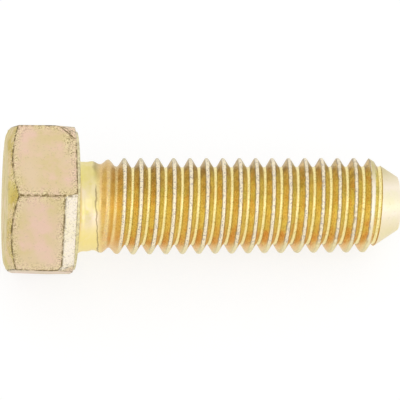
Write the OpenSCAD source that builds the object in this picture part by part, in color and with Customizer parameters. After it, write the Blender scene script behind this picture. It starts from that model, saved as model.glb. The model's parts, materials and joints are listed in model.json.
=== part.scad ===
// Hex cap screw of 3/8 inch, 16 threads to the inch, 1-1/4 inch long, threaded up to a short neck.
// One piece of cold-headed steel wire with a rolled thread. It lies as it comes to rest:
// on one flat of the head and on a crest near the point, with the shank along +X.
// The origin is in the bearing face, where the shank's axis leaves the head.

/* [Thread] */
// Diameter over the crests, next to the head
major_d = 9.3; // [9.2:0.02:9.6]
// Fall of that diameter from the head to the point
thread_taper = 0.2; // [0:0.02:0.3]
// Distance from one crest to the next
pitch = 1.5875; // [1.5:0.0125:1.65]
// Depth from the crest to the root
thread_depth = 0.93; // [0.8:0.01:1]
// Angle between the two flanks of a thread
flank_angle = 60; // [55:1:60]
// Width of the flat on top of a crest
crest_flat = 0.24; // [0.15:0.01:0.3]
// Way the helix winds
thread_hand = -1; // [-1:left, 1:right]
// Turn of the thread about the shank, in degrees
thread_turn = 337.5; // [0:7.5:352.5]

/* [Shank] */
// Length from the bearing face to the end of the point
shank_l = 31.1; // [20:0.1:40]
// Diameter of the neck, which is that of the wire before its thread was rolled
neck_d = 8.6; // [8.4:0.02:8.8]
// Length of the plain neck under the head
neck_l = 0.9; // [0.6:0.1:2]
// Length over which the thread rises from the neck to its full form
runout_l = 3.8; // [2.5:0.1:6]
// Radius of the fillet between the neck and the bearing face
fillet_r = 0.8; // [0.4:0.05:1]

/* [Point] */
// Diameter of the flat end of the point
point_d = 5.2; // [4.5:0.1:6.5]
// Slope of the point's cone, measured from the shank's axis
point_angle = 33; // [28:1:40]
// Distance from the shank's axis to the centre of the point
point_shift = 0.15; // [0:0.05:0.3]

/* [Head] */
// Width of the hexagon across its flats, at the washer face
across_flats = 13.95; // [13.6:0.05:14.4]
// Slope of the flats, which draw in towards the top of the head
draft_angle = 0.8; // [0:0.1:2]
// Height of the head, with its washer face
head_h = 6.8; // [5.5:0.1:7.5]
// Diameter of the flat top inside the chamfer
top_d = 12.3; // [11.5:0.1:13]
// Slope of the chamfer round the top, measured from the top face
top_angle = 28; // [20:1:35]
// Diameter of the washer face
washer_d = 13.3; // [12.6:0.05:13.4]
// Thickness of the washer face
washer_t = 0.3; // [0.15:0.05:0.5]
// Corners that the die did not fill under the head, counted round from the end of the lowest flat
cut_corners = [1, 2, 4, 5]; // [0:1:5]
// Length of these corners that is missing
under_l = 1.6; // [1:0.05:2.4]
// Distance that the slanting face left there reaches in from a corner, at the washer face
under_in = 0.8; // [0.6:0.05:1.2]

/* [Bevel on one flat] */
// Flat that carries the bevel, counted round from the lowest one
bevel_side = 4; // [1:1:5]
// Length of the bevel along the head, from the washer face
bevel_l = 1.2; // [0.5:0.05:2]
// Depth of the bevel at the washer face
bevel_depth = 0.26; // [0.1:0.02:0.28]
// Angle by which the bevel's edge is out of square with the head
bevel_skew = 2; // [0:0.5:4]

/* [Off centre] */
// Distance from the shank's axis to the centre of the head
head_shift = 0.55; // [0:0.05:0.6]
// Angle by which the head is out of square with the shank
head_lean = 1.4; // [0:0.1:2]
// Direction of these shifts and of the lean, in degrees from +Y towards +Z
shift_turn = 33; // [0:1:90]

/* [Hidden] */
$fn = 96;
// The thread has this many steps in a turn
turn_steps = 48;
// The thread's solid starts this far inside the head and lies this far inside the neck
bury_l = 1;
bury_r = 0.02;
// The fillet's arc crosses the side of the neck this far down
fillet_sink = 0.04;
// Cutting solids, and solids to be cut, reach this far past the cut
past = 1;

major_r = major_d / 2;
root_r = major_r - thread_depth;
neck_r = neck_d / 2;
start_r = neck_r - bury_r;
point_r = point_d / 2;
flat_r = across_flats / 2;
corner_r = flat_r / cos(30);
top_r = top_d / 2;
washer_r = washer_d / 2;

// The head's centre and the point's lie on this side of the shank, and the head leans this way
shift_dir = [0, cos(shift_turn), sin(shift_turn)];
lean_axis = [0, -sin(shift_turn), cos(shift_turn)];

function within(low, x, high) = max(low, min(x, high));

// Share of the full thread that has risen at a distance x from the bearing face
function risen(x) = within(0, (x - neck_l) / runout_l, 1);
function crest_at(x) = start_r + (major_r - thread_taper / 2 * x / shank_l - start_r) * risen(x);
function root_at(x) = start_r + (root_r - start_r) * risen(x);

// A thread has four corners: foot and top of the rising flank, then top and foot of the
// falling one. Corner j of the thread whose crest is centred at x is [distance, radius].
flank_l = thread_depth * tan(flank_angle / 2);
half_flat = crest_flat / 2;
corner_offsets = [-half_flat - flank_l, -half_flat, half_flat, half_flat + flank_l];
function corner(j, x) =
    let (at = x + corner_offsets[j])
    [at, j == 1 || j == 2 ? crest_at(at) : root_at(at)];

// The thread's solid is a net of columns, one for each step of a turn, and rows that follow
// the helix, four to a turn. Row r of a column is a corner of turn floor(r / 4).
// What lies before the start or past the end of the net is drawn in to a ring there.
net_end = shank_l + past;
turns = ceil((net_end + bury_l) / pitch) + 2;
rows = 4 * turns;
start_ring = turn_steps * rows;
end_ring = start_ring + turn_steps;

function net_point(i, r) =
    corner(r - 4 * floor(r / 4), pitch * (floor(r / 4) - 1 + i / turn_steps) - bury_l);
function net_index(i, r) =
    let (x = net_point(i, r)[0])
    x <= -bury_l ? start_ring + i : x >= net_end ? end_ring + i : i * rows + r;
function on_shank(i, at) =
    let (turn = 360 * i / turn_steps)
    [at[1] * cos(turn), at[1] * sin(turn), at[0]];
// The column after the last is the first one again, a turn further on
function net_quad(i, r) =
    let (last = i == turn_steps - 1,
         next = last ? 0 : i + 1,
         ahead = last ? r + 4 : r)
    [net_index(i, r), net_index(i, r + 1), net_index(next, ahead + 1), net_index(next, ahead)];
function is_triangle(t) = t[0] != t[1] && t[1] != t[2] && t[2] != t[0];

// The screw rests on the straight end of its lowest flat, washer_t from the bearing face and
// rest_drop below the origin, and on the last crest under the shank that the point leaves whole.
// The lean lifts the shank by lean_rise towards its point, which leaves it to dip by rest_dip.
rest_drop = flat_r - head_shift * sin(shift_turn);
cone_x = shank_l - (major_r + point_shift - point_r) / tan(point_angle);
low_crest = -thread_hand * pitch * thread_turn / 360 - bury_l;
rest_reach = low_crest + pitch * floor((cone_x - low_crest) / pitch);
rest_r = crest_at(rest_reach);
lean_rise = asin(sin(head_lean) * sin(shift_turn));
rest_dip = atan2(rest_drop + rest_reach * sin(lean_rise) - rest_r * cos(lean_rise),
                 washer_t + rest_reach * cos(lean_rise) + rest_r * sin(lean_rise));

// Stands a solid that was made along +Z along +X, with its own +X side down
module along_x() {
    rotate([0, 90, 0])
        children();
}

module thread_net() {
    points = [
        for (i = [0 : turn_steps - 1], r = [0 : rows - 1]) on_shank(i, net_point(i, r)),
        for (i = [0 : turn_steps - 1]) on_shank(i, [-bury_l, start_r]),
        for (i = [0 : turn_steps - 1]) on_shank(i, [net_end, root_r])
    ];
    sides = [
        for (i = [0 : turn_steps - 1], r = [-1 : rows - 1])
            let (q = net_quad(i, r))
            for (t = [[q[0], q[1], q[2]], [q[0], q[2], q[3]]])
                if (is_triangle(t)) t
    ];
    start_face = [for (i = [0 : turn_steps - 1]) start_ring + i];
    end_face = [for (i = [turn_steps - 1 : -1 : 0]) end_ring + i];
    polyhedron(points = points, faces = concat(sides, [start_face, end_face]), convexity = 10);
}

module thread() {
    along_x()
        rotate([0, 0, thread_turn])
            if (thread_hand < 0) {
                mirror([0, 1, 0])
                    thread_net();
            } else {
                thread_net();
            }
}

// The rod that the thread is cut off to: it ends in a cone and a flat
module pointed_rod() {
    rod_r = major_r + past;
    translate(point_shift * shift_dir)
        along_x()
            rotate_extrude()
                polygon([
                    [0, -bury_l - past],
                    [rod_r, -bury_l - past],
                    [rod_r, shank_l - (rod_r - point_r) / tan(point_angle)],
                    [point_r, shank_l],
                    [0, shank_l]
                ]);
}

module neck() {
    along_x()
        translate([0, 0, -bury_l])
            cylinder(r = neck_r, h = bury_l + neck_l);
}

module shank() {
    neck();
    intersection() {
        thread();
        pointed_rod();
    }
}

// A ring with a hollow side, tangent to the bearing face
module fillet() {
    reach = neck_r - fillet_sink + fillet_r;
    along_x()
        rotate_extrude()
            difference() {
                translate([0, -bury_l])
                    square([reach, bury_l + fillet_r]);
                translate([reach, fillet_r])
                    circle(r = fillet_r);
            }
}

// The round blank that the flats are cut from, with its chamfered top
module head_blank() {
    out_r = corner_r + past;
    rotate_extrude()
        difference() {
            translate([0, -head_h])
                square([out_r, head_h - washer_t]);
            polygon([
                [top_r, -head_h],
                [out_r, -head_h - past],
                [out_r + past, -head_h + (out_r + past - top_r) * tan(top_angle)]
            ]);
        }
}

// A cut that faces outwards from a flat at its end by the washer face
module side_cut(side, tilt, skew = 0) {
    reach = head_h + past;
    rotate([0, 0, 60 * side])
        translate([flat_r, 0, -washer_t])
            rotate([-skew, 0, 0])
                rotate([0, tilt, 0])
                    translate([0, -flat_r, -reach])
                        cube([flat_r, across_flats, 2 * reach]);
}

// The slanting cut under one corner
module corner_cut(place) {
    rotate([0, 0, 60 * place + 30])
        translate([corner_r, 0, -washer_t - under_l])
            rotate([0, -atan(under_in / under_l), 0])
                translate([0, -flat_r, -past])
                    cube([flat_r, across_flats, 2 * (under_l + past)]);
}

// The slanting cut at the end of one flat
module bevel_cut() {
    translate([0, 0, -bevel_l])
        side_cut(bevel_side, -atan(bevel_depth / bevel_l), bevel_skew);
}

module washer_face() {
    translate([0, 0, -washer_t - past])
        cylinder(r = washer_r, h = washer_t + past);
}

module head() {
    translate(head_shift * shift_dir)
        along_x() {
            difference() {
                head_blank();
                for (side = [0 : 5])
                    side_cut(side, draft_angle);
                for (place = cut_corners)
                    corner_cut(place);
                bevel_cut();
            }
            washer_face();
        }
}

module cap_screw() {
    color([0.85, 0.72, 0.45])
        rotate([0, rest_dip, 0]) {
            head();
            fillet();
            rotate(a = head_lean, v = lean_axis)
                shank();
        }
}

cap_screw();
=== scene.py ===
# %% [markdown]
# This lesson gives a hex cap screw its looks. The solid model comes first: it is loaded as a
# fixed frame, in metres, with the shank along +X and the screw lying as it comes to rest.
# Everything that follows is fitted to that frame, so nothing has to be moved by hand later.

# %% Load the frame
import json
import math

import bmesh
import bpy
import numpy as np
from mathutils import Matrix, Vector


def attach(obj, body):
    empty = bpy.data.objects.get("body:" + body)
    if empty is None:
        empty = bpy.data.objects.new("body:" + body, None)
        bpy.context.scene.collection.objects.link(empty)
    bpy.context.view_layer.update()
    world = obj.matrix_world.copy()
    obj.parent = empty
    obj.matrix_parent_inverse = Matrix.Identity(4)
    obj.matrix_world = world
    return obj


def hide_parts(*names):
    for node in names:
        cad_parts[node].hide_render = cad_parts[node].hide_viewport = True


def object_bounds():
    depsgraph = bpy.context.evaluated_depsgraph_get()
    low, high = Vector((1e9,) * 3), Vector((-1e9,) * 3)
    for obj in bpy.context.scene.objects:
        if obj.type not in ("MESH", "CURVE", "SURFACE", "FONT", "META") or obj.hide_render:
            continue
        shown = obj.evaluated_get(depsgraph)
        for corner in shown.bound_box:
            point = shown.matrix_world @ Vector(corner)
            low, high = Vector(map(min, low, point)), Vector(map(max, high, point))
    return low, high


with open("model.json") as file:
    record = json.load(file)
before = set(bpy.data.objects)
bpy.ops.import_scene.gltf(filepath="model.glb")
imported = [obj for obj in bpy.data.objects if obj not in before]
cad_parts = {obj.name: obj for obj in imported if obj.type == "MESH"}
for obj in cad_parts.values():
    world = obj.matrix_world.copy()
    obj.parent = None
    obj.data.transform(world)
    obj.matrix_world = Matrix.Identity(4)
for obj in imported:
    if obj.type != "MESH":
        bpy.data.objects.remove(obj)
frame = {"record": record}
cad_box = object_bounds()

MM = 0.001
print("CAD box in mm:", [[round(c / MM, 2) for c in corner] for corner in cad_box])

# %% [markdown]
# The record of the solid model says where its mounts are. Two of them give the two axes of
# this screw: the bearing face looks along the head's axis and the thread along the shank's.
# They differ by more than a degree, because a cold-headed blank is never quite straight.
# Working from them is better than typing angles in, since they stay right if the model changes.

# %% The two axes of the screw
mounts = {mount["name"]: mount for mount in frame["record"]["mounts"]}
head_axis = Vector(mounts["bearing_face"]["axis"]).normalized()
shank_axis = Vector(mounts["thread"]["axis"]).normalized()
top_centre = Vector(mounts["wrench_hexagon"]["pos_m"])
head_h = -top_centre.dot(head_axis) / MM
head_centre = top_centre + head_axis * head_h * MM

# Each part is built upright, along its own Z, and these matrices lay it down in the frame
side_axis = Vector((0, 1, 0))
head_turn = Matrix((side_axis.cross(head_axis), side_axis, head_axis)).transposed()
shank_turn = head_axis.rotation_difference(shank_axis).to_matrix() @ head_turn
to_metres = Matrix.Scale(MM, 4)
lay_head = Matrix.Translation(head_centre) @ head_turn.to_4x4() @ to_metres
lay_fillet = head_turn.to_4x4() @ to_metres
lay_shank = shank_turn.to_4x4() @ to_metres
print("Head height in mm:", round(head_h, 2),
      "lean in degrees:", round(math.degrees(head_axis.angle(shank_axis)), 2))

# %% [markdown]
# The photograph was taken with a long lens from a little to the left of the screw, so the
# left flank of each thread shows wider than the right one. A camera on the same line, with
# the same length of lens, gives the same widths. It is placed from the shank's own axis: swung
# to the left about the vertical of the picture, rolled a trace, and moved back by its distance.

# %% The camera
# The side of the picture in pixels, then the sensor, the lens and the distance in mm
PICTURE = 400
SENSOR = 36
lens = 346.7
view_distance = 370.66
view_swing = math.radians(5.905)
view_roll = math.radians(0.285)
# The point of the shank's axis that is looked at, and its place off the picture's centre
aim_along = 15
aim_right = 2.9825
aim_up = -0.5588

shift_side = (head_centre - head_centre.dot(shank_axis) * shank_axis).normalized()
depth = shift_side.cross(shank_axis)
right = math.cos(view_swing) * shank_axis - math.sin(view_swing) * depth
forward = math.sin(view_swing) * shank_axis + math.cos(view_swing) * depth
turned_right = math.cos(view_roll) * right - math.sin(view_roll) * shift_side
turned_up = math.sin(view_roll) * right + math.cos(view_roll) * shift_side
eye = (aim_along * shank_axis - aim_right * turned_right - aim_up * turned_up
       - view_distance * forward) * MM


def in_scene(name, data):
    """A new object in the scene, made from a mesh, a camera or a lamp."""
    made = bpy.data.objects.new(name, data)
    bpy.context.scene.collection.objects.link(made)
    return made


camera = in_scene("camera", bpy.data.cameras.new("camera"))
camera.data.lens = lens
camera.data.sensor_width = SENSOR
camera.data.clip_start = 10 * MM
camera.matrix_world = Matrix.Translation(eye) @ Matrix(
    (turned_right, turned_up, -forward)).transposed().to_4x4()
bpy.context.scene.camera = camera
print("Camera looks", round(math.degrees(math.asin(-forward.z)), 1), "degrees down;",
      "one pixel is", round(view_distance * SENSOR / lens / PICTURE, 3), "mm")

# %% [markdown]
# These are the sizes of the part, in millimetres, with the names they have in its source. The
# looks are built from the same numbers, so every finished face lies on a face of the solid.
# The last group is new here: it rounds the edges that the solid leaves knife sharp, since a
# real edge is never sharp and its rounding is what catches the light.

# %% Sizes
across_flats, draft, washer_r, washer_t = 13.95, math.radians(0.8), 6.65, 0.3
top_r, top_slope = 6.15, math.radians(28)
under_in, under_l, cut_corners = 0.8, 1.6, (1, 2, 4, 5)
bevel_side, bevel_l, bevel_depth, bevel_skew = 4, 1.2, 0.26, math.radians(2)
shank_l, neck_r, neck_l, fillet_r, fillet_sink = 31.1, 4.3, 0.9, 0.8, 0.04
pitch, major_r, taper, thread_depth = 1.5875, 4.65, 0.1, 0.93
crest_half, flank_slope, runout_l, thread_turn = 0.12, math.radians(30), 3.8, math.radians(337.5)
bury_l, point_r, point_slope, point_shift = 1, 2.6, math.radians(33), 0.15
shift_turn = math.radians(33)

# The turn from one side of the hexagon to the next, and from its middle to its corner
SIDE = math.radians(60)
HALF_SIDE = math.radians(30)
flat_r = across_flats / 2
corner_r = flat_r / math.cos(HALF_SIDE)
under_z = -washer_t - under_l

# Widths of the rounded edges
corner_round, under_round, end_round = 0.3, 0.5, 0.1
chamfer_round, bevel_round, top_round = 0.3, 0.05, 0.12
rim_round, neck_round = 0.06, 0.02
print("Across the corners in mm:", round(2 * corner_r, 2))

# %% [markdown]
# The head is a net of columns round its axis. Each cut that shaped it, the flat, the chamfer,
# the bevel and the slants under the corners, leaves metal out to some radius at a given height,
# and the head is what all of them leave: the smallest of those radii. A soft minimum does the
# same and rounds the edges on the way, the way tumbling and plating do.

# %% How far the head's metal reaches
# A radius beyond all metal, for where a cut takes nothing away
UNCUT = 99
# A flat cut only counts where it faces outwards by more than this
LEAST_FACING = 0.5
# The head stands out past its washer face by this at least
LEDGE = 0.02


def soft_min(a, b, width):
    near = np.maximum(width - abs(a - b), 0) / width
    return np.minimum(a, b) - near * near * width / 4


def flat_reach(z, off):
    """Radius of the hexagon with rounded corners, at an angle off the middle of a side."""
    flat = flat_r + (z + washer_t) * np.tan(draft)
    inner = (flat - corner_round) / np.cos(HALF_SIDE)
    to_corner = HALF_SIDE - abs(off)
    arc = inner * np.cos(to_corner) + np.sqrt(
        np.maximum(corner_round ** 2 - (inner * np.sin(to_corner)) ** 2, 0))
    return np.where(np.tan(abs(off)) * flat > inner / 2, arc, flat / np.cos(off))


def bevel_reach(z, turn):
    """Radius that the bevel at the end of one flat leaves."""
    lean = math.atan(bevel_depth / bevel_l)
    normal = np.array((math.cos(lean), math.sin(lean) * math.sin(bevel_skew),
                       math.sin(lean) * math.cos(bevel_skew)))
    off = (turn - SIDE * bevel_side + np.pi) % (2 * np.pi) - np.pi
    facing = normal[0] * np.cos(off) + normal[1] * np.sin(off)
    reach = flat_r * normal[0] - (z + washer_t + bevel_l) * normal[2]
    return np.where(facing > LEAST_FACING, reach / np.maximum(facing, LEAST_FACING), UNCUT)


def corner_reach(z, turn, off):
    """Radius that the slanting face under a corner leaves; the die filled two of the corners."""
    whole = ~np.isin(np.floor(turn / SIDE) % 6, cut_corners)
    reach = (corner_r - under_in * (z - under_z) / under_l) / np.cos(HALF_SIDE - abs(off))
    return np.where(whole, UNCUT, reach)


def head_reach(z, turn, off):
    reach = soft_min(flat_reach(z, off), bevel_reach(z, turn), bevel_round)
    reach = soft_min(reach, corner_reach(z, turn, off), under_round)
    reach = soft_min(reach, top_r + (z + head_h) / math.tan(top_slope), chamfer_round)
    into_end = np.maximum(z + washer_t + end_round, 0)
    reach = reach - end_round + np.sqrt(np.maximum(end_round ** 2 - into_end ** 2, 0))
    return np.maximum(reach, washer_r + LEDGE)


print("A rounded corner reaches", round(float(flat_reach(-washer_t, HALF_SIDE)), 2), "mm out")

# %% [markdown]
# The columns crowd where a corner is rounded and thin out over the flats. The rows are set
# from edge to edge, crowding at each edge again, so the lines of the net run along the real
# edges. A row is given either by its radius, on the top, or by its height, on the sides.

# %% The columns of the head's net
FLAT_COLUMNS = 17
inner = (flat_r - corner_round) / math.cos(HALF_SIDE)
corner_turns = np.radians(np.array((30, 20, 10, 0)))
corner_offs = HALF_SIDE - np.arctan2(corner_round * np.sin(corner_turns),
                                     inner + corner_round * np.cos(corner_turns))
flat_offs = np.linspace(0, corner_offs[0], FLAT_COLUMNS, endpoint=False)
half = np.concatenate((flat_offs, corner_offs))
side_offs = np.concatenate((-half[::-1], half[1:-1]))
off = np.tile(side_offs, 6)
turn = np.repeat(SIDE * np.arange(6), len(side_offs)) + off
print("Columns round the head:", len(turn))

# %% The heights at which its edges lie
# The chamfer meets the flats at a height that depends on their draft: a few rounds find it
edge_z = np.full_like(turn, -head_h)
for _ in range(6):
    edge_z = (flat_reach(edge_z, off) - top_r) * math.tan(top_slope) - head_h
mid_z = (edge_z - head_h) / 2
mid_r = (top_r + flat_reach(edge_z, off)) / 2

# The flats end by the washer face, or where a slant or the bevel begins
flat_end = np.full_like(turn, -washer_t)
short = corner_r - flat_reach(flat_end, off) * np.cos(HALF_SIDE - abs(off))
slant = np.minimum(under_z + short * under_l / under_in, flat_end)
slanted = corner_reach(flat_end, turn, off) < flat_reach(flat_end, off)
flat_end = np.where(slanted, slant, flat_end)

# A column is on the bevel where that cuts at least this deep, and the last strip of the
# sides, next to the washer face, is never shorter than this
BEVEL_LEAST = 0.02
END_STRIP = 0.03
bevel_in = flat_reach(-washer_t, off) - bevel_reach(-washer_t, turn)
bevelled = bevel_in > BEVEL_LEAST
bevel_start = -washer_t - bevel_l * np.clip(bevel_in / bevel_depth, 0, 1)
flat_end = np.where(bevelled, np.minimum(flat_end, bevel_start), flat_end)
flat_end = np.minimum(flat_end, -washer_t - END_STRIP)
on_bevel = bevelled & np.roll(bevelled, -1)
print("Columns on the bevel:", int(bevelled.sum()))


# %% The rows of the head's net
def spread(start, end, count):
    """Values from start to end that crowd at both ends; the first one is left out."""
    share = (1 - np.cos(np.pi * np.arange(1, count + 1) / count)) / 2
    return [start + (end - start) * s for s in share]


rows = [("top", np.full_like(turn, radius), None)
        for radius in (0.6, 2.2, 3.8, 5.0, 5.6, 5.9, 6.02, 6.1)]
rows += [("top", top_r + (mid_r - top_r) * share, None) for share in (0, 0.07, 0.15, 0.3, 0.6, 1)]
for name, start, end, count in (("chamfer", mid_z, edge_z, 7), ("flat", edge_z, flat_end, 18),
                                ("bevel", flat_end, -washer_t, 12)):
    rows += [(name, None, z) for z in spread(start, end, count)]

ring_points, ring_names = [], []
for name, radius, z in rows:
    if z is None:
        slope = (radius - top_r) * math.tan(top_slope)
        z = -head_h - soft_min(-slope, 0 * slope, top_round)
    else:
        radius = head_reach(z, turn, off)
    ring_points.append((radius, z))
    ring_names.append(name)

# The narrow ledge under the head, then the wall of the washer face and its rounded rim
last_r = ring_points[-1][0]
for share in (0.25, 0.6, 1):
    ring_points.append((last_r + (washer_r - last_r) * share, np.full_like(turn, -washer_t)))
    ring_names.append("under")
wall_z = -2 / 3 * washer_t
rim_arc = 0.3 * rim_round
for radius, z in ((washer_r, wall_z), (washer_r, -rim_round),
                  (washer_r - rim_arc, -rim_arc), (washer_r - rim_round, 0)):
    ring_points.append((np.full_like(turn, radius), np.full_like(turn, z)))
    ring_names.append("washer")

radii = np.array([r for r, z in ring_points])
heights = np.array([z for r, z in ring_points])
head_points = np.stack((radii * np.cos(turn), radii * np.sin(turn), heights), axis=2)
print("Head net:", head_points.shape[0], "rings of", head_points.shape[1], "points")

# %% [markdown]
# The plate is thin and worn beside an edge, and a rounded edge shows a dark line where it
# reflects the dark, which the finish paints. So every point of the net also notes how far it
# is from the nearest edge, along its column and, on a flat, across to the corner.

# %% Distance to the nearest edge
steps = np.linalg.norm(np.diff(head_points, axis=0), axis=2)
run = np.vstack((np.zeros(len(turn)), np.cumsum(steps, axis=0)))
edge_rows = [i - 1 for i in range(1, len(ring_names)) if ring_names[i - 1] != "top"
             and (ring_names[i] != ring_names[i - 1] or i == len(ring_names) - 1)]
to_edge = np.min([abs(run - run[i]) for i in edge_rows], axis=0)
to_corner = radii * np.sin(HALF_SIDE - abs(off))
on_side = np.array([name in ("flat", "bevel") for name in ring_names])[:, None]
to_edge = np.where(on_side, np.minimum(to_edge, to_corner), to_edge)

# The top flat has a second dark line, painted like the dark reflection along an edge where no
# edge is modelled, this far from its end, that fades out past a turn off the flat's middle, by so
# many millimetres to the radian
PAINTED_LINE_AT, FADE_FROM, FADE_BY = 0.6, -0.1, 8
on_top_flat = abs(turn - np.pi) < HALF_SIDE
beside_end = abs(heights + washer_t + PAINTED_LINE_AT) + FADE_BY * np.maximum(off - FADE_FROM, 0)
to_edge = np.where(on_top_flat, np.minimum(to_edge, beside_end), to_edge)
print("Edges along a column:", len(edge_rows))

# %% [markdown]
# The fillet leads from the bearing face to the neck. It follows a quarter circle that is set
# square on the head, while the neck leans with the shank, so each ring of the fillet is mixed
# from the two: all head at the foot and all neck at the end.

# %% The net of the fillet
# The net has as many columns as the thread's, and meets it at this distance along the neck
columns = 128
join_at = 0.85
BEND_RINGS = 13
# Like the thread's columns, these run round the other way than the head's
shank_turns = thread_turn - 2 * np.pi * np.arange(columns) / columns
foot_r = neck_r - fillet_sink + fillet_r


def circle(radius, up):
    return np.stack((radius * np.cos(shank_turns), radius * np.sin(shank_turns),
                     np.full(columns, up)), axis=1)


foot_rings, neck_rings = [], []
for share in np.linspace(0, 1, BEND_RINGS):
    bend = share * math.pi / 2
    radius = foot_r - fillet_r * math.sin(bend)
    up = fillet_r * (1 - math.cos(bend))
    foot_rings.append(circle(radius, up))
    neck_rings.append(circle(-soft_min(-radius, -neck_r, neck_round),
                             up + (join_at - fillet_r) * share ** 3))
mix = np.linspace(0, 1, BEND_RINGS)[:, None, None]
mix = mix * mix * (3 - 2 * mix)


def laid(points, matrix):
    """Points of a part, in millimetres, laid down in the frame."""
    turned = points.reshape(-1, 3) @ np.array(matrix.to_3x3()).T + np.array(matrix.translation)
    return turned.reshape(points.shape)


fillet_points = (laid(np.array(foot_rings), lay_fillet) * (1 - mix)
                 + laid(np.array(neck_rings), lay_shank) * mix)
print("Fillet net:", fillet_points.shape[0], "rings of", fillet_points.shape[1], "points")

# %% [markdown]
# The thread is a job for geometry nodes, because all of it is one rule: a strip of grid whose
# long side winds along the helix and whose short side is one turn. The rule gives each point a
# radius from its distance to the nearest crest. Neighbouring turns share their points, so
# merging them closes the strip into one skin, and the skin is then cut to the cone of the
# point. All its sizes are inputs, so the same tree makes other screws.

# %% The thread's tree and its inputs
MATH, VECTOR, NOISE = "ShaderNodeMath", "ShaderNodeVectorMath", "ShaderNodeTexNoise"
RANGE, MIX = "ShaderNodeMapRange", "ShaderNodeMix"
SPLIT, JOIN = "ShaderNodeSeparateXYZ", "ShaderNodeCombineXYZ"
MOVE, PAINT = "GeometryNodeSetPosition", "GeometryNodeSetMaterial"


def add(tree, kind, *values, out=0, **settings):
    """Add a node, set it up, feed its inputs in order and return one of its outputs."""
    node = tree.nodes.new(kind)
    for name, value in settings.items():
        setattr(node, name, value)
    sockets = [socket for socket in node.inputs if socket.enabled]
    for socket, value in zip(sockets, values):
        if isinstance(value, bpy.types.NodeSocket):
            tree.links.new(value, socket)
        elif value is not None:
            socket.default_value = value
    outputs = [socket for socket in node.outputs if socket.enabled]
    return outputs[out] if outputs else node


# The strip starts inside the head and goes on past the end of the shank
TURNS = 23
PAST_END = 1
tree = bpy.data.node_groups.new("rolled_thread", "GeometryNodeTree")
sizes = {"Pitch": pitch, "Turns": TURNS, "Bury": bury_l, "Start": join_at,
         "End": shank_l + PAST_END, "Neck radius": neck_r, "Neck length": neck_l,
         "Run-out": runout_l, "Crest radius": major_r, "Taper": taper, "Depth": thread_depth,
         "Half crest": crest_half, "Flank": thread_depth * math.tan(flank_slope),
         "First turn": thread_turn, "Length": shank_l, "Point radius": point_r,
         "Point slope": point_slope, "Point side": -point_shift * math.sin(shift_turn),
         "Point front": point_shift * math.cos(shift_turn), "Dent": 0.05}
tree.interface.new_socket("Geometry", in_out="OUTPUT", socket_type="NodeSocketGeometry")
for name in sizes:
    tree.interface.new_socket(name, in_out="INPUT", socket_type="NodeSocketFloat")
for name in ("Thread material", "Point material"):
    tree.interface.new_socket(name, in_out="INPUT", socket_type="NodeSocketMaterial")
given = {socket.name: socket for socket in tree.nodes.new("NodeGroupInput").outputs}
print("Inputs of the thread's tree:", len(tree.interface.items_tree) - 1)

# %% [markdown]
# A point of the grid lies somewhere in one turn, and after so many turns. The two say how far
# around and how far along the shank it belongs, since a turn of the strip carries it one pitch
# further. Twenty-four rows to a pitch are enough for the rounding of crest and root to show.

# %% Along the shank and up the thread
ROWS_PER_PITCH = 24
# Widths of the rounding of crest and root, as shares of the thread's depth
CREST_SOFT, ROOT_SOFT = 0.2, 0.25
grid = add(tree, "GeometryNodeMeshGrid", 1, given["Turns"], columns + 1,
           ROWS_PER_PITCH * TURNS + 1)
position = add(tree, "GeometryNodeInputPosition")
place = add(tree, SPLIT, position).node.outputs
around = add(tree, MATH, place[0], 0.5, operation="ADD")
wound = add(tree, MATH, given["Turns"], 0.5, place[1], operation="MULTIPLY_ADD")

along = add(tree, MATH, add(tree, MATH, wound, around, operation="ADD"), 1, operation="SUBTRACT")
along = add(tree, MATH, along, given["Pitch"], operation="MULTIPLY")
wanted = add(tree, MATH, along, given["Bury"], operation="SUBTRACT")
along = add(tree, "ShaderNodeClamp", wanted, given["Start"], given["End"])

# Height of the thread there, from 0 in the root to 1 on the crest
from_crest = add(tree, MATH, add(tree, MATH, wound, 0.5, operation="PINGPONG"),
                 given["Pitch"], operation="MULTIPLY")
height = add(tree, MATH, add(tree, MATH, given["Half crest"], given["Flank"], operation="ADD"),
             from_crest, operation="SUBTRACT")
height = add(tree, MATH, height, given["Flank"], operation="DIVIDE")
height = add(tree, MATH, height, 1, CREST_SOFT, operation="SMOOTH_MIN")
height = add(tree, MATH, height, 0, ROOT_SOFT, operation="SMOOTH_MAX")
print("Points in the strip:", (columns + 1) * (ROWS_PER_PITCH * TURNS + 1))

# %% The skin of the thread
FIRST_ROW = 0.001
# The thread rises out of the neck over the run-out, and tapers a little from there
risen = add(tree, RANGE, along, given["Neck length"],
            add(tree, MATH, given["Neck length"], given["Run-out"], operation="ADD"), 0, 1)
slope = add(tree, MATH, given["Taper"], given["Length"], operation="DIVIDE")
crest = add(tree, MATH, along, slope, operation="MULTIPLY")
crest = add(tree, MATH, given["Crest radius"], crest, operation="SUBTRACT")
root = add(tree, MATH, given["Crest radius"], given["Depth"], operation="SUBTRACT")
full = add(tree, MATH, height, add(tree, MATH, crest, root, operation="SUBTRACT"), root,
           operation="MULTIPLY_ADD")
radius = add(tree, MIX, risen, given["Neck radius"], full, data_type="FLOAT")

# The first row and all that lies past the end are drawn in to the axis, which closes the skin
is_first = add(tree, MATH, wound, FIRST_ROW, operation="LESS_THAN")
is_past = add(tree, MATH, wanted, given["End"], operation="GREATER_THAN")
open_row = add(tree, MATH, 1, add(tree, MATH, is_first, is_past, operation="ADD"),
               operation="SUBTRACT")
radius = add(tree, MATH, radius, open_row, operation="MULTIPLY")

angle = add(tree, MATH, around, -2 * math.pi, given["First turn"], operation="MULTIPLY_ADD")
x, y = (add(tree, MATH, radius, add(tree, MATH, angle, operation=name), operation="MULTIPLY")
        for name in ("COSINE", "SINE"))
skin = add(tree, MOVE, grid, True, add(tree, JOIN, x, y, along))
print("Nodes so far:", len(tree.nodes))

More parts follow.
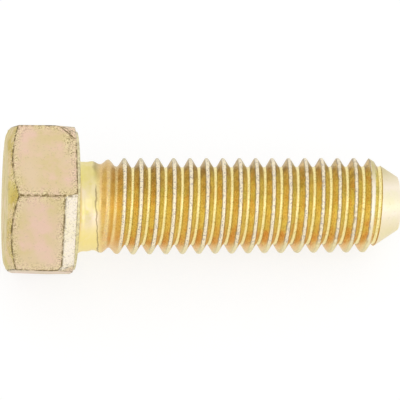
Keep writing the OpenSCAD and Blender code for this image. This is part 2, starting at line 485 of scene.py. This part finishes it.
# %% [markdown]
# Handling leaves small dents in the thread, only ever inwards, in patches that are about
# 0.6 mm wide. The points have moved by now, and a field is always read where its point lies,
# so height and run-out come out by chance here and differ from one point to the next. That
# breaks each patch up into uneven dents, on crests, flanks and roots alike. Capturing the two
# values before the points move would keep the dents to the crests, and off the neck's seam.

# %% Dents, and the skin welded
DENTS_PER_MM = 1.6
ACROSS = (1, 1, 0)
WELD = 0.002
dent = add(tree, NOISE, position, DENTS_PER_MM, 3, 0.6)
dent = add(tree, RANGE, dent, 0.5, 0.75, 0, 1)
for factor in (add(tree, MATH, height, 3, operation="POWER"), risen, given["Dent"], -1):
    dent = add(tree, MATH, dent, factor, operation="MULTIPLY")
outwards = add(tree, VECTOR, add(tree, VECTOR, position, ACROSS, operation="MULTIPLY"),
               operation="NORMALIZE")
skin = add(tree, MOVE, skin, True, None, add(tree, VECTOR, outwards, dent, operation="SCALE"))
skin = add(tree, "GeometryNodeMergeByDistance", skin, True, WELD)
skin = add(tree, "GeometryNodeFlipFaces", skin)
print("Deepest dent in mm:", sizes["Dent"])

# %% [markdown]
# A blade cut the point to a cone, a little off the shank's axis. A mesh cone that starts well
# inside the head takes its place, and what skin and cone share is the threaded shank.

# %% The point
CONE_BACK = 2
cone_l = add(tree, MATH, given["Length"], CONE_BACK, operation="ADD")
steep = add(tree, MATH, given["Point slope"], operation="TANGENT")
wide = add(tree, MATH, cone_l, steep, given["Point radius"], operation="MULTIPLY_ADD")
cone = add(tree, "GeometryNodeMeshCone", columns, 1, 1, given["Point radius"], wide, cone_l)
aside = add(tree, JOIN, given["Point side"], given["Point front"], -CONE_BACK)
cone = add(tree, "GeometryNodeTransform", cone, aside)
cut_node = tree.nodes.new("GeometryNodeMeshBoolean")
cut_node.operation, cut_node.solver = "INTERSECT", "MANIFOLD"
for solid in (cone, skin):
    tree.links.new(solid, cut_node.inputs["Mesh 2"])
screw = cut_node.outputs["Mesh"]
print("Slope of the point in degrees:", round(math.degrees(point_slope), 1))

# %% [markdown]
# The finish needs the height of the thread and the side that a flank faces, above 0 for the
# point and below 0 for the head. Both are worked out once more from the place of each point,
# and stored as attributes, which materials can read.

# %% Height and side for the finish
across = add(tree, VECTOR, add(tree, VECTOR, position, ACROSS, operation="MULTIPLY"),
             operation="LENGTH")
depth_here = add(tree, MATH, add(tree, MATH, given["Crest radius"], across, operation="SUBTRACT"),
                 given["Depth"], operation="DIVIDE")
height_here = add(tree, MATH, 1, depth_here, operation="SUBTRACT")

turned = add(tree, MATH, place[1], place[0], operation="ARCTAN2")
turned = add(tree, MATH, given["First turn"], turned, operation="SUBTRACT")
turned = add(tree, MATH, turned, 2 * math.pi, operation="DIVIDE")
wound_here = add(tree, MATH, place[2], given["Bury"], operation="ADD")
wound_here = add(tree, MATH, wound_here, given["Pitch"], operation="DIVIDE")
wound_here = add(tree, MATH, wound_here, turned, operation="SUBTRACT")
side = add(tree, MATH, add(tree, MATH, wound_here, 2 * math.pi, operation="MULTIPLY"),
           operation="SINE")
for name, value in (("height", height_here), ("side", side)):
    screw = add(tree, "GeometryNodeStoreNamedAttribute", screw, True, name, value,
                data_type="FLOAT", domain="POINT")
print("Nodes so far:", len(tree.nodes))

# %% Materials of the thread and the point
# Whatever lies on the cone or on the flat end of the point was cut, not rolled. A face counts
# as lying there if it is no further off than this.
OFF_CONE, OFF_END = 0.012, 0.001
from_centre = add(tree, SPLIT, add(tree, VECTOR, position, aside, operation="SUBTRACT"))
from_centre = from_centre.node.outputs
squares = [add(tree, MATH, from_centre[i], 2, operation="POWER") for i in (0, 1)]
from_axis = add(tree, MATH, add(tree, MATH, *squares, operation="ADD"), operation="SQRT")
cone_here = add(tree, MATH, add(tree, MATH, cone_l, from_centre[2], operation="SUBTRACT"),
                steep, given["Point radius"], operation="MULTIPLY_ADD")
on_cone = add(tree, MATH, from_axis, add(tree, MATH, cone_here, OFF_CONE, operation="SUBTRACT"),
              operation="GREATER_THAN")
on_end = add(tree, MATH, from_centre[2], add(tree, MATH, cone_l, OFF_END, operation="SUBTRACT"),
             operation="GREATER_THAN")
is_cut = add(tree, "FunctionNodeBooleanMath", on_cone, on_end, operation="OR")
screw = add(tree, "GeometryNodeRealizeInstances", screw)
screw = add(tree, PAINT, screw, True, given["Thread material"])
screw = add(tree, PAINT, screw, is_cut, given["Point material"])
add(tree, "NodeGroupOutput", screw)
print("Nodes in the thread's tree:", len(tree.nodes))

# %% [markdown]
# One plated piece still shows how each of its faces was made: pressed, upset, drawn, rolled or
# cut. The plate is the same all over, zinc under a yellow chromate, so one function makes the
# metal of all the finishes and is handed the colours. Every pattern is measured in millimetres
# on the piece itself, which keeps it in place whatever the camera does.

# %% The plated metal
# A noise has as many spots to the millimetre as its scale says. Real flecks, dots and grains
# go down to hundredths of a millimetre, but a pixel is a tenth, so they are drawn coarser.
DULL_PER_MM, FLECKS_PER_MM, DOTS_PER_MM, GRAINS_PER_MM, SPECKS_PER_MM = 1.3, 5, 7, 8, 6
BLOTCHES_PER_MM, BREAKS_PER_MM, WAVES_PER_MM, CREST_WOBBLES_PER_MM = 0.9, 2.4, 1.2, 3
# The outputs used of two nodes: the place on the object, and an attribute as a number
OBJECT_PLACE, AS_NUMBER = 3, 2


def linear(code):
    """A colour written as sRGB hex, in the linear values that Blender works with."""
    channels = [int(code[i:i + 2], 16) / 255 for i in (0, 2, 4)]
    return tuple(c / 12.92 if c <= 0.04045 else ((c + 0.055) / 1.055) ** 2.4
                 for c in channels) + (1,)


def laid_over(nodes, under, over, value, start, end, most=1, only=1):
    """Lay a colour, hex or made by nodes, over another: the most where a value reaches the
    end of its range, nothing at the start of it, and less where the last factor is low."""
    share = add(nodes, RANGE, value, start, end, 0, most)
    if only != 1:
        share = add(nodes, MATH, share, only, operation="MULTIPLY")
    under, over = (linear(c) if isinstance(c, str) else c for c in (under, over))
    return add(nodes, MIX, share, under, over, data_type="RGBA")


def patches(nodes, spot, size, base, second, tint):
    """Soft patches of three colours, of a size in millimetres: thicker and thinner chromate."""
    first = add(nodes, NOISE, spot, 1 / size, 2, 0.5)
    colour = laid_over(nodes, base, second, first, 0.4, 0.6)
    moved = add(nodes, VECTOR, spot, (17, 5, 9), operation="ADD")
    other = add(nodes, NOISE, moved, 1.4 / size, 3, 0.6)
    return laid_over(nodes, colour, tint, other, 0.46, 0.64, 0.9)


def plated(name, rough, grain, paint):
    """A plated metal: its colours come from a function, its grain is fine and satin."""
    material = bpy.data.materials.new(name)
    material.use_nodes = True
    nodes = material.node_tree
    shader = nodes.nodes["Principled BSDF"]
    shader.inputs["Metallic"].default_value = 1
    spot = add(nodes, VECTOR, add(nodes, "ShaderNodeTexCoord", out=OBJECT_PLACE), 1 / MM,
               operation="SCALE")
    nodes.links.new(paint(nodes, spot), shader.inputs["Base Color"])
    dull = add(nodes, RANGE, add(nodes, NOISE, spot, DULL_PER_MM, 4, 0.6), 0.3, 0.7,
               rough - 0.05, rough + 0.07)
    nodes.links.new(dull, shader.inputs["Roughness"])
    size, depth = grain
    bumps = add(nodes, NOISE, spot, 1 / size, 3, 0.6)
    nodes.links.new(add(nodes, "ShaderNodeBump", 1, depth * MM, None, bumps),
                    shader.inputs["Normal"])
    return material


print("The code 808080 is", round(linear("808080")[0], 3), "in linear light")


# %% [markdown]
# The faces of the head carry soft patches and fine flecks. Beside each edge the plate is worn,
# with dark and light dots, and a broken dark line runs along the edge: a painted dark reflection
# of the rounded edge.

# %% Colours of a face with edges
def face_paint(base, second, tint, fleck, flecks, dots_and_edge_shade=1, size=5):
    def paint(nodes, spot):
        colour = patches(nodes, spot, size, base, second, tint)
        speck = add(nodes, NOISE, spot, FLECKS_PER_MM, 3, 0.65)
        colour = laid_over(nodes, colour, fleck, speck, 0.6, 0.68, flecks)
        distance = add(nodes, "ShaderNodeAttribute", out=AS_NUMBER, attribute_name="edge")
        dots = add(nodes, NOISE, spot, DOTS_PER_MM, 2, 0.6)
        worn = add(nodes, RANGE, add(nodes, NOISE, spot, BLOTCHES_PER_MM, 3, 0.6), 0.35, 0.6, 0.35, 1)
        beside = add(nodes, MATH, add(nodes, RANGE, distance, 0.15, 0.9, 1, 0), worn,
                     operation="MULTIPLY")
        colour = laid_over(nodes, colour, "f4e8b4", dots, 0.54, 0.6, 0.9, beside)
        colour = laid_over(nodes, colour, "8f8050", dots, 0.46, 0.4, 0.85 * dots_and_edge_shade, beside)
        # A broken dark line along each edge: painted dark reflection of the rounded edge
        breaks = add(nodes, NOISE, spot, BREAKS_PER_MM, 3, 0.7)
        broken = add(nodes, RANGE, breaks, 0.4, 0.55, 0.15, dots_and_edge_shade)
        return laid_over(nodes, colour, "76643f", distance, 0.16, 0.05, 1, broken)
    return paint


print("Flecks are", 1 / FLECKS_PER_MM, "mm apart, dots", round(1 / DOTS_PER_MM, 2), "mm")

# %% [markdown]
# The thread is painted more golden than the head, standing in for light that bounces from flank
# to flank and takes up the colour of the plate each time. The flanks that face the head are
# orange, as painted light, and the ones that face the point more olive, as painted shade. Along
# the upper side of the shank the thread is painted brown as shade, and lighter along the lower
# side as painted light. The pale band on each crest is a painted highlight, and carries grey
# specks. The neck is smooth drawn wire that no die has touched, and stays cream.

# %% Colours of the neck
picture_up = (0, math.cos(shift_turn), math.sin(shift_turn))
# A dark line of painted shade runs round the shank at this distance from the bearing face
DARK_LINE = 2


def neck_paint(nodes, spot):
    """Yellow and pinkish cream, with painted shade and light: darker yellow along the upper side,
    brighter yellow along the lower, a broken dark line of painted shade where the run-out begins
    and a brown olive band of painted shade past it.
    """
    along = add(nodes, SPLIT, spot)
    across = add(nodes, VECTOR, spot, picture_up, operation="DOT_PRODUCT")
    colour = patches(nodes, spot, 2.5, "eedfa6", "f5e2ca", "e8da8a")
    # Darker yellow along the upper side, painted shade, and brighter yellow along the lower side,
    # painted light
    colour = laid_over(nodes, colour, "e6d87c", across, 1.5, 3, 0.6)
    colour = laid_over(nodes, colour, "ffea98", across, -1, -2.6, 0.7)
    waves = add(nodes, NOISE, spot, WAVES_PER_MM, 2, 0.5)
    uneven = add(nodes, RANGE, waves, 0.3, 0.7, -0.08, 0.08)
    wavy = add(nodes, MATH, along, uneven, operation="ADD")
    off_line = add(nodes, MATH, add(nodes, MATH, wavy, DARK_LINE, operation="SUBTRACT"),
                   operation="ABSOLUTE")
    # A broken dark line round the shank, painted shade, and past it along the upper side a brown
    # olive band of painted shade
    lower = add(nodes, RANGE, across, 1.6, 2.2, 1, 0)
    colour = laid_over(nodes, colour, "94805a", off_line, 0.1, 0.03, 0.75, lower)
    upper = add(nodes, RANGE, across, 2.2, 3.6, 0, 1)
    return laid_over(nodes, colour, "a8965c", wavy, 1.7, DARK_LINE, 0.8, upper)


print("Up in the picture is", [round(c, 2) for c in picture_up])


# %% Colours of the thread
def thread_paint(nodes, spot):
    high, side = (add(nodes, "ShaderNodeAttribute", out=AS_NUMBER, attribute_name=name)
                  for name in ("height", "side"))
    along = add(nodes, SPLIT, spot)
    across = add(nodes, VECTOR, spot, picture_up, operation="DOT_PRODUCT")
    # Orange on the flanks that face the head and olive on those that face the point: a lit and a
    # shaded copy of the plate, painted light and painted shade
    colour = patches(nodes, spot, 1.6, "f9d480", "f6c06c", "fae07c")
    olive = patches(nodes, spot, 1.6, "d8cc6c", "ecde7c", "ccca78")
    colour = laid_over(nodes, colour, olive, side, -0.2, 0.2)

    # Brown along the upper side, painted shade, lighter along the lower side, painted light, and
    # orange brown in patches near the lower edge
    blotches = add(nodes, NOISE, spot, BLOTCHES_PER_MM, 3, 0.6)
    uneven = add(nodes, RANGE, blotches, 0.3, 0.7, -1.6, 1.6)
    mottled = add(nodes, MATH, across, uneven, operation="ADD")
    colour = laid_over(nodes, colour, "ffec9c", across, 0, -2, 0.5)
    colour = laid_over(nodes, colour, "b0904e", mottled, 1.2, 4, 0.95)
    colour = laid_over(nodes, colour, "eeae62", mottled, -2.6, -3.6, 0.7)

    # A pale line in the root, a painted highlight, with a dark one beside it, painted shade, and
    # grains on the flanks
    colour = laid_over(nodes, colour, "a08c50", high, 0.2, 0.1, 0.6)
    colour = laid_over(nodes, colour, "fff2b0", high, 0.09, 0.04)
    grains = add(nodes, NOISE, spot, GRAINS_PER_MM, 2, 0.6)
    colour = laid_over(nodes, colour, "fdeab0", grains, 0.53, 0.62, 0.6)
    colour = laid_over(nodes, colour, "b08a50", grains, 0.47, 0.38, 0.5)

    # The pale crest band, a painted highlight, between two thin broken dark lines, with grey
    # specks
    crest_level = add(nodes, RANGE, add(nodes, NOISE, spot, CREST_WOBBLES_PER_MM, 3, 0.6), 0.3, 0.7, -0.06, 0.06)
    crest_level = add(nodes, MATH, high, crest_level, operation="ADD")
    full = add(nodes, RANGE, along, 3.8, 5, 0, 1)
    colour = laid_over(nodes, colour, "8f7f5c", crest_level, 0.72, 0.8, 0.7, full)
    colour = laid_over(nodes, colour, "f9ebca", crest_level, 0.82, 0.9)
    specks = add(nodes, NOISE, spot, SPECKS_PER_MM, 3, 0.65)
    on_crest = add(nodes, RANGE, crest_level, 0.6, 0.9, 0, 1)
    colour = laid_over(nodes, colour, "a59c98", specks, 0.53, 0.6, 0.8, on_crest)

    # On the shank's outlines the upper half of the thread is painted grey olive at the top, as
    # shade, and pale at the bottom, as painted light
    near_top = add(nodes, RANGE, high, 0.3, 0.8, 0, 1)
    colour = laid_over(nodes, colour, "b6ab7c", across, 3.9, 4.4, 0.7, near_top)
    colour = laid_over(nodes, colour, "ece0a8", across, -3.8, -4.4, 0.7, near_top)

    # The run-out is tan where the thread starts to rise, and the neck is plain
    colour = laid_over(nodes, colour, "ecc98c", along, 4.6, 3.6, 0.6)
    return laid_over(nodes, neck_paint(nodes, spot), colour, along, 2, 2.5)


print("Patches on the thread are 1.6 mm wide, a little more than its pitch of", pitch)


# %% [markdown]
# A blade cut the point to its cone and left it smoother than the dies left the rest. It is one
# of the lightest faces: painted almost white in the middle, as painted light for the bright panel
# it faces, and yellower towards two sides, its upper and lower, as painted shade.

# %% Colours of the point
def cone_paint(nodes, spot):
    across = add(nodes, VECTOR, spot, picture_up, operation="DOT_PRODUCT")
    colour = face_paint("fbf0da", "faedda", "f5eec8", "b4aa94", 0.25)(nodes, spot)
    # Yellower towards the lower and the upper side: painted shade
    colour = laid_over(nodes, colour, "eadb94", across, -1.6, -3, 0.5)
    return laid_over(nodes, colour, "c6b66c", across, 1, 3, 0.85)


# %% [markdown]
# These are the finishes, from the top of the head to the point. The head is warm tan, where the
# plate lies on pressed steel, and the faces that were broken out or cut are painted almost white:
# painted light for the bright panel that they face. Each one has its roughness and its grain:
# the width and the depth of a grain in millimetres.

# %% The finishes
finishes = {}
for finish in (
        # Upset in the die and grainy from it: greenish gold and the dullest face
        plated("forged_top", 0.42, (0.25, 0.012),
               face_paint("dcca7c", "ccb458", "e6cca0", "8f8868", 0.9, size=2)),
        # Trimmed smooth: a calm tan satin in large soft patches
        plated("pressed_flat", 0.36, (0.3, 0.006),
               face_paint("e5cdaa", "dfca9a", "eccab6", "b5a685", 0.35, size=3.5)),
        # Torn by the trimming die: cream, nearly white, painted light for the bright panel it
        # faces
        plated("broken_out_bevel", 0.34, (0.25, 0.008),
               face_paint("fdf2e0", "fbefe4", "fcf1d4", "b9ab93", 0.6, 0.7)),
        # Pressed flat against the die: pale yellow satin
        plated("washer_face", 0.38, (0.25, 0.008),
               face_paint("f8eebc", "f0e4a0", "f6ecc8", "968a5c", 0.3, 0.45)),
        # Drawn wire, smooth along its length: soft cream
        plated("drawn_neck", 0.34, (0.3, 0.006), neck_paint),
        # Rolled: polished crests, golden flanks and a fine grain
        plated("rolled_thread", 0.36, (0.2, 0.006), thread_paint),
        # Sheared by a blade: almost white, painted light for the bright panel it faces
        plated("cut_point", 0.36, (0.25, 0.008), cone_paint)):
    finishes[finish.name] = finish
print("Finishes:", ", ".join(finishes))

# %% [markdown]
# The tree is run once and its result kept as a plain mesh, because a finished piece should be
# only what it shows. An input of a modifier goes by its identifier, not by its name.

# %% The shank as a mesh
holder = in_scene("thread_holder", bpy.data.meshes.new("thread_holder"))
modifier = holder.modifiers.new("thread", "NODES")
modifier.node_group = tree
codes = {item.name: item.identifier for item in tree.interface.items_tree}
for name, value in sizes.items():
    modifier[codes[name]] = float(value)
modifier[codes["Thread material"]] = finishes["rolled_thread"]
modifier[codes["Point material"]] = finishes["cut_point"]
evaluated = holder.evaluated_get(bpy.context.evaluated_depsgraph_get())
shank_mesh = bpy.data.meshes.new_from_object(evaluated)
bpy.data.objects.remove(holder)
print("Shank:", len(shank_mesh.vertices), "points,", len(shank_mesh.polygons), "faces,",
      [m.name for m in shank_mesh.materials])

# %% [markdown]
# Head, fillet and shank are now joined into one skin. The head's net and the fillet's become
# faces ring by ring, the flat ring between them is bridged, and the seam at the neck is welded.
# Two known faults are left in. The fillet's points run round the other way than the head's,
# so the bridge crosses over itself and the head's faces end up looking inwards: a plus in
# shank_turns would mend that. And dents have moved some points of the seam, which stay open.

# %% Faces of the head and the fillet
skin_mesh = bmesh.new()
edge_layer, height_layer, side_layer = (skin_mesh.verts.layers.float.new(name)
                                        for name in ("edge", "height", "side"))
slots = list(finishes)
# A distance in mm that is further from an edge than wear goes
FAR_OFF = 3.0
finish_of = {"top": "forged_top", "chamfer": "forged_top", "flat": "pressed_flat",
             "bevel": "pressed_flat", "under": "washer_face", "washer": "washer_face"}


def with_next(ring):
    """Each item of a closed ring with the one after it."""
    return list(zip(ring, ring[1:] + ring[:1]))


def add_face(corners, finish):
    face = skin_mesh.faces.new(corners)
    face.material_index = slots.index(finish)


def add_rings(points, distances, finish_at):
    """Add a net of closed rings and return its rings of vertices."""
    made = []
    for ring, near in zip(points, distances):
        made.append([skin_mesh.verts.new(p) for p in ring])
        for vert, distance in zip(made[-1], near):
            vert[edge_layer] = distance
    for j in range(len(made) - 1):
        for i, ((a, b), (c, d)) in enumerate(zip(with_next(made[j]), with_next(made[j + 1]))):
            add_face((a, b, d, c), finish_at(j, i))
    return made


def head_finish(j, i):
    name = ring_names[j + 1]
    return "broken_out_bevel" if name == "bevel" and on_bevel[i] else finish_of[name]


head_rings = add_rings(laid(head_points, lay_head), to_edge, head_finish)
middle = skin_mesh.verts.new(lay_head @ Vector((0, 0, -head_h)))
for vert, after in with_next(head_rings[0]):
    add_face((middle, after, vert), "forged_top")
fillet_rings = add_rings(fillet_points, np.full(fillet_points.shape[:2], FAR_OFF),
                         lambda j, i: "drawn_neck")
loops = [skin_mesh.edges.get(pair) for ring in (head_rings[-1], fillet_rings[0])
         for pair in with_next(ring)]
for face in bmesh.ops.bridge_loops(skin_mesh, edges=loops)["faces"]:
    face.material_index = slots.index("washer_face")
print("Faces of head and fillet:", len(skin_mesh.faces))

# %% [markdown]
# The shank brings its own two attributes along. The flat that closed its skin inside the neck
# is left out here, so that neck and fillet open into each other.

# %% Faces of the shank, and the seam
# Both in metres: how flat the closing faces are, and how close the points of the seam
IN_PLANE, SEAM = 1e-7, 2e-6
shank_mesh.transform(lay_shank)
cap_at = lay_shank @ Vector((0, 0, join_at))
shank_verts = [skin_mesh.verts.new(v.co) for v in shank_mesh.vertices]
for name, layer in (("height", height_layer), ("side", side_layer)):
    for vert, item in zip(shank_verts, shank_mesh.attributes[name].data):
        vert[layer] = item.value
for vert in shank_verts:
    vert[edge_layer] = FAR_OFF
for polygon in shank_mesh.polygons:
    corners = [shank_verts[k] for k in polygon.vertices]
    if any(abs((c.co - cap_at).dot(shank_axis)) >= IN_PLANE for c in corners):
        add_face(corners, shank_mesh.materials[polygon.material_index].name)
loose = [v for v in skin_mesh.verts if not v.link_faces]
bmesh.ops.delete(skin_mesh, geom=loose, context="VERTS")
bmesh.ops.remove_doubles(skin_mesh, verts=list(skin_mesh.verts), dist=SEAM)
bmesh.ops.recalc_face_normals(skin_mesh, faces=list(skin_mesh.faces))
print("Open edges:", sum(not edge.is_manifold for edge in skin_mesh.edges),
      "volume in mm3:", round(skin_mesh.calc_volume(signed=True) / MM ** 3, 1))

# %% The whole screw as one mesh
screw_mesh = bpy.data.meshes.new("cap_screw_body")
skin_mesh.to_mesh(screw_mesh)
skin_mesh.free()
for name in slots:
    screw_mesh.materials.append(finishes[name])
screw_mesh.shade_smooth()
screw_mesh.set_sharp_from_angle(angle=math.radians(40))
screw = in_scene("cap_screw_body", screw_mesh)
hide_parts("cap_screw")
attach(screw, "root")
screw_mesh.calc_loop_triangles()
print("Screw:", len(screw_mesh.vertices), "points,", len(screw_mesh.loop_triangles), "triangles")

# %% [markdown]
# The photograph has a white ground with hardly a shadow on it. The floor is white paper that
# is lit like the screw, and a share of its white is made its own for the camera and for
# reflections, which keeps the shadow faint. The room is one soft grey light, with a brighter
# panel to the right in front, which the bevel and the point face, and one over the camera.

# %% The floor
WHITE = linear("ffffff")
PAPER_GLOW = 0.78
half_floor, floor_z = 1.5, cad_box[0][2]
floor_mesh = bpy.data.meshes.new("paper_floor")
floor_mesh.from_pydata([(x * half_floor, y * half_floor, floor_z)
                        for x, y in ((-1, -1), (1, -1), (1, 1), (-1, 1))], [], [(0, 1, 2, 3)])
floor = in_scene("paper_floor", floor_mesh)


def seen_directly(nodes):
    """1 for rays that show something to the camera, by a mirror or glass too, and 0 for light."""
    path = nodes.nodes.new("ShaderNodeLightPath")
    seen = add(nodes, MATH, path.outputs["Is Camera Ray"], path.outputs["Is Glossy Ray"],
               operation="MAXIMUM")
    return add(nodes, MATH, seen, path.outputs["Is Transmission Ray"], operation="MAXIMUM")


# Matt paper: no shine at all. Its own grey takes the shadow and its glow makes up the white.
paper = bpy.data.materials.new("white_paper")
paper.use_nodes = True
nodes = paper.node_tree
shader = nodes.nodes["Principled BSDF"]
shader.inputs["Roughness"].default_value = 1
shader.inputs["Specular IOR Level"].default_value = 0
shader.inputs["Base Color"].default_value = linear("909090")
shader.inputs["Emission Color"].default_value = WHITE
glow = add(nodes, MATH, seen_directly(nodes), PAPER_GLOW, operation="MULTIPLY")
nodes.links.new(glow, shader.inputs["Emission Strength"])
floor_mesh.materials.append(paper)
print("Floor at", round(floor_z / MM, 2), "mm")

# %% World and lamps
ROOM_LIGHT = 0.8
MIDDLE = Vector((12 * MM, 0, 0))
world = bpy.data.worlds.new("soft_room")
bpy.context.scene.world = world
world.use_nodes = True
nodes = world.node_tree
background = nodes.nodes["Background"]
strength = add(nodes, RANGE, seen_directly(nodes), 0, 1, ROOM_LIGHT, 1)
background.inputs["Color"].default_value = WHITE
nodes.links.new(strength, background.inputs["Strength"])


def panel(name, towards, distance, size, radiance):
    """A square lamp that looks back at the screw's middle, with a set brightness of its face."""
    data = bpy.data.lights.new(name, "AREA")
    data.size = size
    data.energy = radiance * math.pi * size * size
    lamp = in_scene(name, data)
    towards = Vector(towards).normalized()
    lamp.location = MIDDLE + towards * distance
    lamp.rotation_euler = (-towards).to_track_quat("-Z", "Y").to_euler()
    print("Lamp", name, "of", round(data.energy, 2), "W")


panel("panel_right", (0.85, -0.6, 0.3), distance=0.5, size=0.5, radiance=0.35)
panel("panel_above", (-0.1, -0.45, 0.9), distance=0.5, size=0.3, radiance=0.5)
bpy.context.scene.view_settings.view_transform = "Standard"
